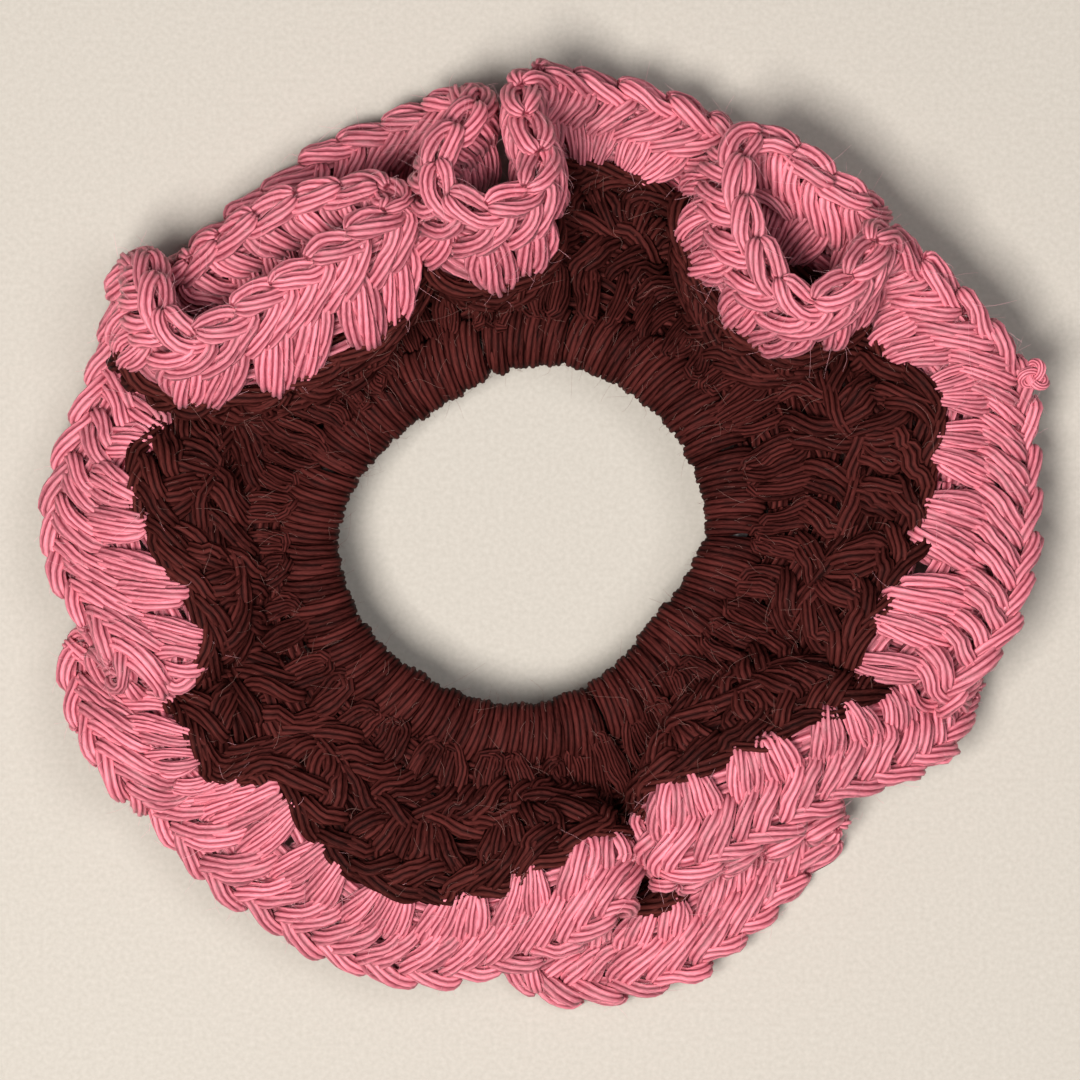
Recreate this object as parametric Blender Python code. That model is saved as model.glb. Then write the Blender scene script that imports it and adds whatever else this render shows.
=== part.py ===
"""A crocheted hair scrunchie, standing on the table at z = 0, in metres.

An elastic hair tie is worked over with one round of tight stitches. Two wider rounds in the
same brown cotton and one pink round follow, each with more stitches than the last, so the
fabric is far longer at its edge than at the elastic and falls into ruffles and pleats.

The whole fabric is one surface: a rib leaves the elastic, bends over and ends at the edge.
Each round is a band of that surface. The scrunchie is built as two halves, because the
elastic stretches, and the upper half slides away from the lower one.
"""

import math

import bpy
import numpy as np

# ---------------------------------------------------------------- sizes, in millimetres

MM = 0.001

# The middle of the elastic ring, set so that the whole outline is centred on the origin.
RING_MIDDLE = (-2.15, 0.25)
RING_HEIGHT = 10.0

# Distance from the ring's middle to the elastic's centreline, every 30 degrees from +X.
RING_RADII = (24.3, 24.5, 23.9, 23.0, 21.2, 22.5, 24.6, 24.2, 23.0, 22.9, 21.9, 21.3)

CORE_RADIUS = 1.6
COVER_INSIDE = 1.9
COVER_OUTSIDE = 2.2
FOUNDATION_INSIDE = 2.5
FOUNDATION_OUTSIDE = 3.5

# The rib's length from the foundation round to the edge, and where each round lies on it.
BROWN_LENGTH = 20.0
PINK_LENGTH = 11.5
ROUND_TWO = (0.5, 9.4)
ROUND_THREE = (10.1, 19.3)
PINK_ROUND = (20.5, 29.0)
HEM_PLACE = 27.0
CHAIN_PLACE = 31.1
CHAIN_RADIUS = 1.5
BROWN_THICKNESS = 2.0
PINK_THICKNESS = 2.4

# The two halves part at these places on the edge, given by the angle seen from the middle.
SPLIT_RIGHT = 8.0
SPLIT_LEFT = 166.0
SPLIT_GAP = 0.9

JOIN_LENGTH = 7.0

# The yarn's four ends are woven in on the underside: row angle or place, and length.
TAIL_RADIUS = 0.8
TAIL_GAP = 0.35
BROWN_START_TAIL = (248.0, 290.0)
BROWN_END_TAIL = (-118.0, 14.5, 24.0)
PINK_START_TAIL = (60.0, 25.0, 20.0)
PINK_END_TAIL = (13.0, 25.5, 13.0)

# The knot that fastens off the pink yarn sits on the edge chain, on the right.
KNOT_AT = 17.2
KNOT_RADIUS = 1.5
KNOT_LIFT = 3.2
KNOT_OUT = 0.8

UPPER_SMALL_PIECES = ("pink_knot", "pink_start_tail", "pink_end_tail")

EDGE_STEPS = 1440
EDGE_SMOOTHING = 2.2
ROOT_SMOOTHING = 42.0
LEAST_ROOT_SHARE = 0.3
LEAST_BEND = 10.0
END_BEND_SHARE = 0.7

# How the edge lies, counterclockwise from the right, chosen by hand pleat by pleat.
# Each station is a point of the edge, then the point below it where pink meets brown,
# both measured from the ring's middle: along X, along Y and up.
FOLDS = [
    # right side, lying quiet
    ((58.5, 4.0, -1), (46.0, 6.5, 2)),
    ((58.0, 11.5, -3), (47.0, 12.0, 2)),
    ((58.0, 17.5, 0), (47.5, 16.0, 3)),
    # shoulder on the upper right
    ((55.5, 21.5, 3), (45.5, 17.0, 4)),
    ((51.5, 26.0, 4), (42.5, 19.5, 3)),
    ((48.0, 29.5, 5), (40.5, 23.0, 0)),
    ((45.0, 31.5, 5), (39.5, 25.0, -2)),
    ((43.0, 33.0, 7), (39.0, 26.5, -1)),
    # front wall of the right-hand pleat
    ((40.5, 35.5, 11), (38.5, 27.0, 2)),
    ((39.0, 32.0, 14), (37.5, 25.0, 4)),
    ((36.5, 28.5, 15), (35.0, 23.0, 5)),
    ((32.0, 25.5, 15), (30.0, 21.0, 5)),
    ((28.0, 29.0, 15), (24.0, 25.0, 5)),
    ((25.5, 35.0, 14), (20.5, 30.5, 5)),
    ((24.5, 40.5, 12), (18.5, 36.0, 4)),
    ((24.5, 44.5, 9), (19.0, 38.5, 2)),
    # back wall of the right-hand pleat
    ((27.0, 46.0, 6), (22.5, 38.0, -1)),
    ((31.0, 44.0, 6), (28.0, 36.0, -2)),
    ((35.0, 40.5, 6), (31.0, 32.5, -3)),
    ((38.5, 38.5, 5), (34.0, 30.0, -3)),
    ((41.5, 37.0, 0), (36.5, 28.0, -6)),
    # under layer of the right-hand pleat
    ((39.0, 38.0, -5), (33.5, 29.0, -10)),
    ((34.0, 40.5, -6), (27.5, 32.5, -10)),
    ((28.5, 44.0, -6), (22.0, 36.0, -9)),
    ((25.0, 46.5, -3), (18.0, 39.0, -6)),
    # top, lying outwards
    ((20.5, 48.5, -1), (14.5, 41.5, -4)),
    ((15.5, 50.5, 0), (11.0, 42.5, -3)),
    ((8.5, 52.0, 0), (8.0, 43.0, -3)),
    ((4.0, 53.0, 2), (5.5, 43.0, -2)),
    # standing flute at the top
    ((-0.3, 52.3, 8), (0.9, 43.5, 1)),
    ((-0.2, 48.0, 13), (0.4, 40.5, 4)),
    ((2.5, 43.0, 16), (2.5, 37.5, 6)),
    ((1.0, 38.5, 18), (3.0, 33.0, 8)),
    ((-5.0, 36.0, 19), (-3.5, 28.5, 9)),
    ((-9.0, 38.0, 18), (-9.5, 30.0, 8)),
    ((-10.0, 41.5, 16), (-11.5, 35.5, 6)),
    ((-8.5, 45.0, 14), (-9.0, 38.5, 4)),
    ((-5.7, 48.0, 11), (-5.6, 40.0, 2)),
    ((-4.6, 50.2, 6), (-4.4, 41.0, -1)),
    ((-6.5, 51.0, 0), (-6.5, 41.0, -5)),
    # under layer of the left-hand pleat
    ((-11.5, 49.5, -4), (-12.5, 39.5, -9)),
    ((-16.5, 47.5, -5), (-15.5, 38.5, -9)),
    ((-23.5, 44.5, -6), (-20.0, 36.5, -10)),
    ((-30.0, 39.5, -6), (-25.0, 32.5, -10)),
    ((-36.0, 34.5, -6), (-30.0, 26.5, -10)),
    ((-39.5, 31.5, -4), (-33.5, 23.5, -8)),
    ((-39.5, 30.0, 2), (-34.5, 22.5, -5)),
    # back wall of the left-hand pleat
    ((-36.5, 32.5, 6), (-32.0, 25.0, -3)),
    ((-31.5, 35.5, 9), (-28.5, 28.0, -1)),
    ((-26.0, 38.5, 10), (-24.5, 31.0, 1)),
    ((-20.0, 39.5, 11), (-19.5, 33.0, 2)),
    ((-15.5, 39.5, 13), (-14.0, 33.0, 4)),
    # front wall of the left-hand pleat
    ((-13.5, 37.5, 15), (-11.0, 30.5, 6)),
    ((-18.5, 34.5, 16), (-16.0, 23.5, 7)),
    ((-24.0, 30.5, 16), (-23.0, 19.5, 7)),
    ((-29.5, 27.0, 16), (-29.5, 17.0, 7)),
    ((-35.0, 23.0, 16), (-36.0, 16.0, 7)),
    ((-38.5, 22.5, 16), (-40.0, 17.0, 8)),
    ((-40.5, 25.0, 15), (-43.0, 18.5, 8)),
    ((-41.0, 28.5, 12), (-45.0, 21.0, 7)),
    ((-42.0, 31.5, 8), (-44.5, 24.0, 4)),
    ((-43.5, 32.5, 4), (-42.0, 25.0, 1)),
    ((-46.0, 30.5, 0), (-40.0, 25.0, -2)),
    # left side
    ((-47.5, 26.0, -3), (-38.8, 22.0, -5)),
    ((-49.0, 20.0, -4), (-39.5, 17.0, -5)),
    ((-50.5, 14.0, -3), (-42.0, 11.0, 0)),
    ((-53.0, 7.5, -3), (-44.0, 6.5, 4)),
    ((-54.5, 1.0, -3), (-42.5, 0.5, 4)),
    ((-53.0, -5.0, -1), (-39.5, -4.0, 5)),
    ((-50.0, -10.0, 3), (-36.0, -9.5, 6)),
    ((-47.0, -13.0, 6), (-36.0, -12.5, 6)),
    ((-45.5, -16.5, 7), (-37.5, -15.5, 5)),
    # first small pleat on the left
    ((-47.5, -16.0, 2), (-39.0, -17.0, 0)),
    ((-51.0, -11.0, -3), (-41.0, -16.5, -3)),
    ((-52.5, -12.0, -5), (-42.5, -18.0, -2)),
    ((-52.0, -17.5, -3), (-40.5, -19.5, 2)),
    ((-51.0, -21.5, 0), (-38.0, -21.0, 5)),
    ((-49.0, -24.5, 3), (-37.0, -23.5, 6)),
    ((-46.5, -28.0, 4), (-37.0, -25.5, 4)),
    # second small pleat on the left
    ((-45.0, -29.5, 1), (-35.5, -26.5, 3)),
    ((-44.0, -30.0, -3), (-34.0, -27.0, 3)),
    ((-42.5, -31.5, -4), (-32.0, -27.0, 3)),
    ((-40.0, -35.0, -2), (-29.5, -26.5, 4)),
    ((-36.0, -39.5, -2), (-25.5, -30.0, 5)),
    ((-28.5, -44.0, -2), (-22.0, -35.5, 4)),
    ((-21.0, -48.5, -2), (-16.5, -39.5, 4)),
    ((-14.0, -50.5, -2), (-11.5, -40.0, 4)),
    ((-7.5, -50.5, -1), (-6.0, -40.5, 5)),
    ((-1.5, -48.5, 1), (-1.0, -39.0, 7)),
    ((3.5, -47.5, 4), (1.0, -36.5, 8)),
    ((8.0, -45.5, 7), (5.5, -35.0, 8)),
    ((10.5, -42.5, 8), (9.5, -34.5, 6)),
    ((11.5, -42.0, 4), (12.0, -34.5, 3)),
    # middle and under layer at the bottom
    ((8.0, -44.0, -1), (9.5, -35.0, -1)),
    ((1.5, -46.5, -3), (3.5, -37.0, -4)),
    ((-1.5, -49.5, -6), (0.5, -40.5, -8)),
    ((2.0, -53.0, -8), (4.0, -43.5, -11)),
    ((8.0, -53.5, -8), (10.5, -44.5, -10)),
    ((14.0, -52.5, -6), (14.5, -43.5, -4)),
    ((19.5, -50.5, -6), (19.0, -40.5, -5)),
    ((24.5, -47.0, -6), (23.5, -37.5, -6)),
    ((29.0, -43.0, -8), (27.5, -33.5, -10)),
    ((33.5, -38.5, -9), (31.0, -30.0, -11)),
    ((36.5, -34.5, -8), (32.0, -28.0, -10)),
    # middle layer, hidden under the lower right pleat
    ((36.0, -33.0, -1), (30.5, -26.5, -3)),
    ((29.5, -35.5, 1), (24.5, -28.0, -1)),
    ((22.5, -38.5, 2), (19.0, -30.5, 0)),
    ((17.0, -40.0, 4), (14.5, -32.0, 2)),
    # top layer of the lower right pleat
    ((15.5, -39.5, 6), (13.5, -30.5, 5)),
    ((18.0, -39.5, 8), (16.0, -28.5, 8)),
    ((22.5, -37.0, 8), (19.0, -27.0, 9)),
    ((27.0, -34.5, 8), (22.5, -25.0, 9)),
    ((32.0, -32.0, 7), (28.0, -23.0, 9)),
    ((36.5, -29.5, 6), (33.0, -20.0, 9)),
    ((42.5, -27.0, 4), (37.5, -18.5, 8)),
    ((48.0, -25.0, 1), (41.5, -18.5, 4)),
    ((50.5, -22.0, -3), (43.0, -17.5, -1)),
    ((52.5, -18.0, -6), (45.0, -15.0, -5)),
    # small tuck on the right
    ((51.5, -17.5, -1), (43.5, -13.5, -1)),
    ((48.5, -19.5, 3), (40.0, -15.5, 3)),
    ((49.5, -17.5, 6), (37.5, -14.5, 6)),
    ((53.0, -14.0, 6), (38.0, -11.5, 7)),
    ((55.5, -10.5, 4), (40.5, -9.0, 6)),
    ((57.0, -6.5, 2), (43.0, -4.0, 5)),
    ((58.0, -1.5, 0), (45.5, 1.0, 3)),
]


# ---------------------------------------------------------------- the fabric's surface


def softened(rows, reach):
    """Closed rows of values, each averaged with its neighbours within about this many rows."""
    far = int(math.ceil(3 * reach))
    steps = np.arange(-far, far + 1)
    weights = np.exp(-0.5 * (steps / reach) ** 2)
    weights /= weights.sum()
    total = np.zeros_like(rows)
    for step, weight in zip(steps, weights):
        total += weight * np.roll(rows, -step, axis=0)
    return total


def unit(vectors):
    return vectors / np.linalg.norm(vectors, axis=-1, keepdims=True)


def ring_radius(angle):
    """The elastic's centreline, as a smooth closed curve through RING_RADII."""
    count = len(RING_RADII)
    place = np.asarray(angle, float) / (2 * math.pi) * count
    first = np.floor(place).astype(int)
    share = place - first
    radii = np.array(RING_RADII)
    before = radii[(first - 1) % count]
    start = radii[first % count]
    end = radii[(first + 1) % count]
    after = radii[(first + 2) % count]
    bend = 2 * before - 5 * start + 4 * end - after
    twist = 3 * (start - end) + after - before
    return start + 0.5 * share * (end - before + share * (bend + share * twist))


def ring_point(angle):
    radius = ring_radius(angle)
    return np.stack([radius * np.cos(angle), radius * np.sin(angle), 0 * radius], axis=-1)


def along(values, steps):
    """Values of a closed polyline, read at equal steps of its own length."""
    closed = np.vstack([values, values[:1]])
    lengths = np.linalg.norm(np.diff(closed, axis=0), axis=1)
    reached = np.concatenate([[0], np.cumsum(lengths)])
    places = np.arange(steps) * reached[-1] / steps
    columns = [np.interp(places, reached, column) for column in closed.T]
    return np.stack(columns, axis=1), reached[-1] / steps


def settled_edge():
    """The edge and the pink border as smooth curves, and the angle where each rib starts."""
    stations = np.array(FOLDS, float).reshape(-1, 6)
    path, step = along(stations, EDGE_STEPS)
    path = softened(path, EDGE_SMOOTHING / step)
    edge, border = path[:, :3], path[:, 3:]
    turn = np.unwrap(np.arctan2(border[:, 1], border[:, 0]))
    even = np.arange(EDGE_STEPS) * 2 * math.pi / EDGE_STEPS
    wander = softened(turn - even, ROOT_SMOOTHING / step)
    pace = np.diff(np.append(wander + even, wander[0] + 2 * math.pi))
    pace = np.maximum(pace, LEAST_ROOT_SHARE * 2 * math.pi / EDGE_STEPS)
    pace *= 2 * math.pi / pace.sum()
    root = wander[0] + np.concatenate([[0], np.cumsum(pace[:-1])])
    return edge, border, root


EDGE, BORDER, ROOT = settled_edge()
EDGE_LENGTH = np.linalg.norm(EDGE - np.roll(EDGE, 1, axis=0), axis=1).sum()


def rib_points(rows, place):
    """Points of the ribs with these row numbers, this far along, from the ring's middle."""
    rows = np.asarray(rows, float)
    low = np.floor(rows).astype(int)
    share = (rows - low)[:, None]
    low, high = low % EDGE_STEPS, (low + 1) % EDGE_STEPS
    edge = EDGE[low] * (1 - share) + EDGE[high] * share
    border = BORDER[low] * (1 - share) + BORDER[high] * share
    step = (ROOT[high] - ROOT[low]) % (2 * math.pi)
    angle = ROOT[low] + step * share[:, 0]
    out = np.stack([np.cos(angle), np.sin(angle), 0 * angle], axis=1)
    centre = ring_point(angle)
    reach = border - centre
    rise = 0.6 * np.arctan2(reach[:, 2], np.maximum((reach * out).sum(axis=1), 1.0))
    start_way = out * np.cos(rise)[:, None] + np.array([0, 0, 1]) * np.sin(rise)[:, None]
    start = centre + FOUNDATION_OUTSIDE * start_way
    end_way = unit(edge - border)
    if place >= HEM_PLACE:
        return edge - end_way * (BROWN_LENGTH + PINK_LENGTH - place)
    if place >= BROWN_LENGTH:
        hem = edge - end_way * (BROWN_LENGTH + PINK_LENGTH - HEM_PLACE)
        return border + (hem - border) * (place - BROWN_LENGTH) / (HEM_PLACE - BROWN_LENGTH)
    bend = np.maximum(np.linalg.norm(border - start, axis=1, keepdims=True), LEAST_BEND)
    t = place / BROWN_LENGTH
    return (
        start * (2 * t**3 - 3 * t**2 + 1)
        + start_way * bend * (t**3 - 2 * t**2 + t)
        + border * (3 * t**2 - 2 * t**3)
        + end_way * bend * END_BEND_SHARE * (t**3 - t**2)
    )


def rib_normals(rows, place):
    ahead = rib_points(np.asarray(rows) + 3, place) - rib_points(np.asarray(rows) - 3, place)
    up = rib_points(rows, place + 0.4) - rib_points(rows, place - 0.4)
    return unit(np.cross(ahead, up))


def bend_radius(rows, place):
    """The radius of the curve that this place on the rib follows round the scrunchie."""
    rows = np.asarray(rows)
    before = rib_points(rows - 4, place) - rib_points(rows, place)
    after = rib_points(rows + 4, place) - rib_points(rows, place)
    area = np.linalg.norm(np.cross(before, after), axis=1)
    sides = np.linalg.norm(before, axis=1) * np.linalg.norm(after, axis=1)
    return sides * np.linalg.norm(after - before, axis=1) / np.maximum(2 * area, 1e-6)


def row_at(degrees):
    """The row whose edge is first seen at this angle from the ring's middle."""
    seen = np.degrees(np.arctan2(EDGE[:, 1], EDGE[:, 0])) - degrees
    return int(np.argmin(np.abs((seen + 180) % 360 - 180)))


# ---------------------------------------------------------------- solids


def new_solid(name, points, faces, material):
    """A mesh object from points in millimetres measured from the ring's middle.

    Where the fabric would sink below the table it is flattened against it.
    """
    placed = np.array(points, float)
    placed[:, 2] = np.maximum(placed[:, 2], -RING_HEIGHT)
    mesh = bpy.data.meshes.new(name)
    mesh.from_pydata((placed * MM).tolist(), [], faces)
    mesh.materials.append(material)
    solid = bpy.data.objects.new(name, mesh)
    bpy.context.scene.collection.objects.link(solid)
    return solid


def skinned(name, sections, material):
    """One closed body through a row of sections, each with the same number of points."""
    count, around = len(sections), len(sections[0])
    points = np.concatenate(sections)
    faces = []
    for i in range(count - 1):
        for j in range(around):
            k = (j + 1) % around
            faces.append((i * around + j, i * around + k, (i + 1) * around + k, (i + 1) * around + j))
    faces.append(tuple(reversed(range(around))))
    faces.append(tuple((count - 1) * around + j for j in range(around)))
    return new_solid(name, points, faces, material)


def open_tube(name, outer, inner, material):
    """A tube with a wall and two open ends, from matching rows of outer and inner circles."""
    count, around = len(outer), len(outer[0])
    inside = count * around
    points = np.concatenate([*outer, *inner])
    faces = []
    for i in range(count - 1):
        for j in range(around):
            k = (j + 1) % around
            a, b = i * around, (i + 1) * around
            faces.append((a + j, a + k, b + k, b + j))
            faces.append((inside + a + k, inside + a + j, inside + b + j, inside + b + k))
    last = (count - 1) * around
    for j in range(around):
        k = (j + 1) % around
        faces.append((j, inside + j, inside + k, k))
        faces.append((last + k, inside + last + k, inside + last + j, last + j))
    return new_solid(name, points, faces, material)


def ring_circles(start, end, steps, radius, around):
    """Circles round the elastic's centreline between two angles in degrees."""
    circles = []
    for angle in np.radians(np.linspace(start, end, steps)):
        centre = ring_point(angle)
        out = unit(np.array([math.cos(angle), math.sin(angle), 0.0]))
        turns = -2 * math.pi * np.arange(around) / around
        circle = centre + radius * (np.outer(np.cos(turns), out))
        circle[:, 2] += radius * np.sin(turns)
        circles.append(circle)
    return circles


def fabric_band(name, rows, span, thickness, crosswise, material):
    """One round of the fabric: the surface between two places on the rib, made solid."""
    places = np.linspace(span[0], span[1], crosswise)
    share = np.full(crosswise, 1.0)
    share[0] = share[-1] = 0.6
    upper, lower = [], []
    for place, part in zip(places, share):
        middle = rib_points(rows, place)
        normal = rib_normals(rows, place)
        height = part * np.minimum(thickness / 2, 0.36 * bend_radius(rows, place))[:, None]
        upper.append(middle + normal * height)
        lower.append(middle - normal * height)
    loops = np.stack(lower + upper[::-1], axis=1)
    return skinned(name, list(loops), material)


def edge_tube(name, rows, place, lift, radius, around, material):
    """A round cord along the fabric at one place on the rib, lifted off it by so much."""
    middle = rib_points(rows, place) + rib_normals(rows, place) * lift
    ahead = unit(rib_points(np.asarray(rows) + 2, place) - rib_points(np.asarray(rows) - 2, place))
    side = unit(np.cross(ahead, rib_normals(rows, place)))
    up = np.cross(side, ahead)
    turns = -2 * math.pi * np.arange(around) / around
    radii = np.minimum(radius, 0.5 * bend_radius(rows, place))
    circles = []
    for centre, a, b, r in zip(middle, side, up, radii):
        circles.append(centre + r * (np.outer(np.cos(turns), a) + np.outer(np.sin(turns), b)))
    return skinned(name, circles, material)


def woven_tail(name, tail, thickness, material):
    """A yarn end lying along the underside of one round, centred on a row."""
    angle, place, length = tail
    half = length / 2 * EDGE_STEPS / EDGE_LENGTH
    rows = row_at(angle) + np.linspace(-half, half, 12)
    lift = thickness / 2 + TAIL_GAP + TAIL_RADIUS
    edge_tube(name, rows, place, lift, TAIL_RADIUS, 6, material)


def start_tail(name, span, material):
    """The brown yarn's first end, carried along underneath the foundation round."""
    below = FOUNDATION_OUTSIDE + TAIL_GAP + TAIL_RADIUS
    circles = ring_circles(span[0], span[1], 12, TAIL_RADIUS, 6)
    skinned(name, [circle - np.array([0, 0, below]) for circle in circles], material)


def fasten_off_knot(name, material):
    """A small tight knot: three turns of yarn drawn together on top of the edge chain."""
    rows = np.array([row_at(KNOT_AT)], float)
    chain = rib_points(rows, CHAIN_PLACE)[0]
    out = unit(chain * np.array([1, 1, 0]))
    ahead = np.cross([0, 0, 1], out)
    centre = chain + out * KNOT_OUT + np.array([0, 0, KNOT_LIFT])
    circles = []
    for share in np.linspace(-1, 1, 13):
        swell = 1 - 0.22 * math.cos(3 * math.pi * share) ** 2
        radius = KNOT_RADIUS * swell * math.sqrt(max(1 - 0.86 * share**2, 0.05))
        turns = -2 * math.pi * np.arange(10) / 10
        circle = centre + ahead * share * 1.2 * KNOT_RADIUS
        circle = circle + radius * np.outer(np.cos(turns), out)
        circle[:, 2] += radius * 0.85 * np.sin(turns)
        circles.append(circle)
    skinned(name, circles, material)


# ---------------------------------------------------------------- materials


def plain_material(name, colour, roughness, metallic=0.0):
    material = bpy.data.materials.new(name)
    material.use_nodes = True
    shader = material.node_tree.nodes["Principled BSDF"]
    shader.inputs["Base Color"].default_value = (*colour, 1.0)
    shader.inputs["Roughness"].default_value = roughness
    shader.inputs["Metallic"].default_value = metallic
    material.diffuse_color = (*colour, 1.0)
    return material


def clear_scene():
    for thing in list(bpy.data.objects):
        bpy.data.objects.remove(thing, do_unlink=True)


# ---------------------------------------------------------------- the halves


def make_half(name, start, end, ring_start, ring_end, yarns):
    """Seven pieces of one half: elastic, its cover, and five worked layers over it."""
    steps = 34
    core = ring_circles(ring_start, ring_end, steps, CORE_RADIUS, 8)
    skinned(f"{name}_elastic_core", core, yarns["rubber"])
    foundation = [
        ring_circles(ring_start, ring_end, steps, radius, 10)
        for radius in (FOUNDATION_OUTSIDE, FOUNDATION_INSIDE)
    ]
    open_tube(f"{name}_foundation_round", *foundation, yarns["brown"])

    rows = np.linspace(start, end, 112)
    fabric_band(f"{name}_brown_round_two", rows, ROUND_TWO, BROWN_THICKNESS, 3, yarns["brown"])
    fabric_band(f"{name}_brown_round_three", rows, ROUND_THREE, BROWN_THICKNESS, 3, yarns["brown"])
    fabric_band(f"{name}_pink_round", rows, PINK_ROUND, PINK_THICKNESS, 3, yarns["pink"])
    edge_tube(f"{name}_edge_chain", rows, CHAIN_PLACE, 0, CHAIN_RADIUS, 6, yarns["pink"])


def hold_halves():
    """An empty at the ring's middle for each half, and every solid parented to its own."""
    solids = list(bpy.context.scene.collection.objects)
    holders = {}
    for half in ("lower", "upper"):
        holders[half] = bpy.data.objects.new(f"{half}_half", None)
        holders[half].location = [v * MM for v in (*RING_MIDDLE, RING_HEIGHT)]
        bpy.context.scene.collection.objects.link(holders[half])
    for solid in solids:
        upper = solid.name.startswith("upper_") or solid.name in UPPER_SMALL_PIECES
        solid.parent = holders["upper" if upper else "lower"]


def make_cover(name, ring_start, ring_end, yarns):
    cover = [
        ring_circles(ring_start, ring_end, 34, radius, 8)
        for radius in (COVER_OUTSIDE, COVER_INSIDE)
    ]
    open_tube(f"{name}_elastic_cover", *cover, yarns["braid"])


def main():
    clear_scene()
    yarns = {
        "rubber": plain_material("natural_rubber", (0.03, 0.025, 0.022), 0.7),
        "braid": plain_material("elastic_braid", (0.02, 0.012, 0.01), 0.8),
        "brown": plain_material("brown_cotton", (0.07, 0.022, 0.017), 0.9),
        "pink": plain_material("pink_cotton", (0.72, 0.2, 0.26), 0.85),
        "join": plain_material("join_sleeve", (0.05, 0.04, 0.04), 0.5),
    }
    right, left = row_at(SPLIT_RIGHT), row_at(SPLIT_LEFT)
    per_mm = EDGE_STEPS / EDGE_LENGTH
    gap = SPLIT_GAP * per_mm
    ring_right = math.degrees(ROOT[right])
    ring_left = math.degrees(ROOT[left])
    ring_gap = math.degrees(SPLIT_GAP / 24.0)

    make_half("upper", right + gap, left - gap, ring_right + ring_gap, ring_left - ring_gap, yarns)
    make_cover("upper", ring_right + ring_gap, ring_left - ring_gap, yarns)

    ring_end = ring_right + 360
    make_half("lower", left + gap, right + EDGE_STEPS - gap, ring_left + ring_gap, ring_end - ring_gap, yarns)
    join = math.degrees(JOIN_LENGTH / 24.0)
    make_cover("lower", ring_left + ring_gap, ring_end - join - ring_gap, yarns)
    sleeve = [
        ring_circles(ring_end - join, ring_end - ring_gap, 5, radius, 8)
        for radius in (COVER_OUTSIDE, COVER_INSIDE)
    ]
    open_tube("elastic_join_sleeve", *sleeve, yarns["join"])

    start_tail("brown_start_tail", BROWN_START_TAIL, yarns["brown"])
    woven_tail("brown_end_tail", BROWN_END_TAIL, BROWN_THICKNESS, yarns["brown"])
    woven_tail("pink_start_tail", PINK_START_TAIL, PINK_THICKNESS, yarns["pink"])
    woven_tail("pink_end_tail", PINK_END_TAIL, PINK_THICKNESS, yarns["pink"])
    fasten_off_knot("pink_knot", yarns["pink"])

    hold_halves()
    print("edge length", round(EDGE_LENGTH), "mm; ring splits", round(ring_right), round(ring_left))


main()
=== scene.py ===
# %% [markdown]
# # A crocheted hair scrunchie
#
# The real thing is an elastic hair tie with crochet worked all round it: a tight brown
# foundation round, two tall brown rounds and one pink round. Every round has more stitches
# than the last, so the fabric is much longer at its edge than at the elastic, and it falls
# into ruffles and pleats.
#
# The lesson builds it as the maker does, strand by strand. First comes the fabric's middle
# surface, then a way to lay a plied strand of yarn on it, and then each kind of stitch.

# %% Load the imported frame
import math

import bpy
import numpy as np
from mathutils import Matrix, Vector


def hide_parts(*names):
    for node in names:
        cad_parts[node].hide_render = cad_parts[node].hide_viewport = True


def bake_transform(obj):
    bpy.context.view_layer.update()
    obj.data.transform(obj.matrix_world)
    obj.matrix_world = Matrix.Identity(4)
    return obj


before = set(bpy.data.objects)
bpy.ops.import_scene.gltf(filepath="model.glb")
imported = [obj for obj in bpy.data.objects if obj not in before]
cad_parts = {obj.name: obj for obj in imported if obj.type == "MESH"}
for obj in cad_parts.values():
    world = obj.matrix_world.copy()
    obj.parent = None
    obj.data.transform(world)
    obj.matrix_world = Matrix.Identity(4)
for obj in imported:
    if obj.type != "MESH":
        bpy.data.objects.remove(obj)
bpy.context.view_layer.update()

# %% [markdown]
# ## Camera, floor and light
#
# The scrunchie lies flat and is looked at from straight above. A long lens from far away keeps
# tall pleats from looking bigger than low ones. The floor is a plain pale sheet with a fine
# grain. Yarn looks soft under one broad light with a weaker one opposite, so that each ply
# gets a lit side and a shaded groove.

# %% Camera from straight above
LENS = 200.0
SENSOR = 36.0
VIEW_WIDTH = 0.1226
VIEW_HEIGHT = 0.014
VIEW_MIDDLE = (-0.0002, -0.0002)
FARTHEST_SEEN = 20

camera_data = bpy.data.cameras.new("camera")
camera_data.lens = LENS
camera_data.sensor_width = SENSOR
camera = bpy.data.objects.new("camera", camera_data)
camera.location = (*VIEW_MIDDLE, VIEW_HEIGHT + VIEW_WIDTH * LENS / SENSOR)
camera.rotation_euler = (0, 0, 0)
camera_data.clip_end = FARTHEST_SEEN
bpy.context.scene.collection.objects.link(camera)
bpy.context.scene.camera = camera
print("camera height in mm:", round(camera.location.z * 1000))

# %% Soft studio light
LIGHT_AIM = (0, 0, 0.01)
SKY_COLOUR = (0.95, 0.96, 1.0, 1)
SKY_STRENGTH = 0.07


def softbox(name, place, size, watts, colour):
    """A square light that faces the middle of the ring."""
    data = bpy.data.lights.new(name, "AREA")
    data.energy = watts
    data.size = size
    data.color = colour
    lamp = bpy.data.objects.new(name, data)
    lamp.location = place
    lamp.rotation_euler = (Vector(LIGHT_AIM) - Vector(place)).to_track_quat("-Z", "Y").to_euler()
    bpy.context.scene.collection.objects.link(lamp)


softbox("key_light", (-0.17, -0.16, 0.74), 0.26, 8.6, (1.0, 0.98, 0.95))
softbox("top_light", (0.26, 0.04, 0.84), 0.34, 2.6, (0.97, 0.98, 1.0))

world = bpy.data.worlds.new("studio")
world.use_nodes = True
sky = world.node_tree.nodes["Background"]
sky.inputs["Color"].default_value = SKY_COLOUR
sky.inputs["Strength"].default_value = SKY_STRENGTH
bpy.context.scene.world = world
bpy.context.scene.view_settings.view_transform = "Standard"

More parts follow.
